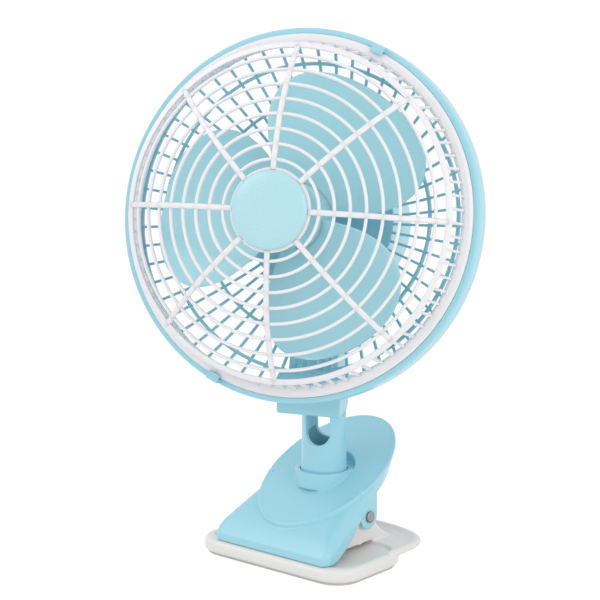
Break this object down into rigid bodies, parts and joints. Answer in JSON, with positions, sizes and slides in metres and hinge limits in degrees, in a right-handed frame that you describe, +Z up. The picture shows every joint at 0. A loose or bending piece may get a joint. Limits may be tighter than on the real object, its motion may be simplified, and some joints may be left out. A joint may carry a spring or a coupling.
{
  "type": "clip fan",
  "caption": "Small clip-on desk fan: caged three-lobed blade wheel on a tilting, swivelling stem over a sprung clamp that also stands as a foot.",
  "frame": {"origin": "centre of the swivel axis on the underside of the base pad, where the clamp stands on a table", "axes": "+Z up along the swivel axis; the clamp's mouth faces -Y and its squeeze handle is at +Y; +X is to the right of someone who faces the back of the clamp"},
  "size_m": [0.1884, 0.1475, 0.2901],
  "materials": {
    "aqua_plastic": "glossy moulded, aqua",
    "pale_aqua_plastic": "glossy moulded, pale aqua",
    "blade_plastic": "glossy moulded, slightly see-through aqua",
    "white_plastic": "glossy moulded, white",
    "foot_plastic": "satin moulded, off-white",
    "pad_rubber": "matt",
    "bright_steel": "plated",
    "motor_steel": "laminated",
    "motor_copper": "enamelled wire",
    "bearing_bronze": "sintered"
  },
  "bodies": {
    "base": {"base_pad": "pad_rubber", "lower_jaw": "foot_plastic", "lower_grip_pad": "pad_rubber", "hinge_pin": "bright_steel", "hinge_clip": "bright_steel", "jaw_spring": "bright_steel"},
    "upper": {"upper_jaw": "aqua_plastic", "upper_grip_pad": "pad_rubber", "swivel_nut": "bright_steel", "swivel_screw": "bright_steel"},
    "yoke": {"yoke": "aqua_plastic", "swivel_washer": "bright_steel", "tilt_bolt": "bright_steel", "tilt_nut": "bright_steel"},
    "head": {"motor_housing": "aqua_plastic", "motor_cover": "aqua_plastic", "cover_screw_right": "bright_steel", "cover_screw_left": "bright_steel", "stator_core": "motor_steel", "winding_front": "motor_copper", "winding_rear": "motor_copper", "bearing_front": "bearing_bronze", "bearing_rear": "bearing_bronze", "rear_guard": "aqua_plastic", "guard_screw_1": "bright_steel", "guard_screw_2": "bright_steel", "guard_screw_3": "bright_steel", "front_guard": "white_plastic", "guard_cap": "pale_aqua_plastic", "cord_gland": "white_plastic"},
    "rotor": {"motor_shaft": "bright_steel", "rotor_core": "motor_steel", "fan_blade": "blade_plastic", "blade_lock_nut": "pale_aqua_plastic"},
    "slider": {"speed_slider": "white_plastic"}
  },
  "joints": [
    {"name": "jaw_open", "type": "hinge", "parent": "base", "child": "upper", "pos_m": [0, -0.0015, 0.0252], "axis": [-1, 0, 0], "range_deg": [0, 30], "stiffness_Nm_per_rad": 0.9, "springref_deg": -40.11, "deforming": ["jaw_spring"]},
    {"name": "yoke_swivel", "type": "hinge", "parent": "upper", "child": "yoke", "pos_m": [0, 0, 0.05], "axis": [0, 0, 1], "range_deg": [-110.2, 69.8]},
    {"name": "head_tilt", "type": "hinge", "parent": "yoke", "child": "head", "pos_m": [0, 0, 0.0857], "axis": [-0.9385, -0.3453, 0], "range_deg": [-27.2, 62.8]},
    {"name": "blade_spin", "type": "hinge", "parent": "head", "child": "rotor", "pos_m": [0.01537, -0.04176, 0.19456], "axis": [-0.3375, 0.9173, -0.2113], "continuous": true},
    {"name": "speed_slide", "type": "slide", "parent": "head", "child": "slider", "axis": [0.9385, 0.3453, 0], "range_m": [0, 0.008]}
  ]
}
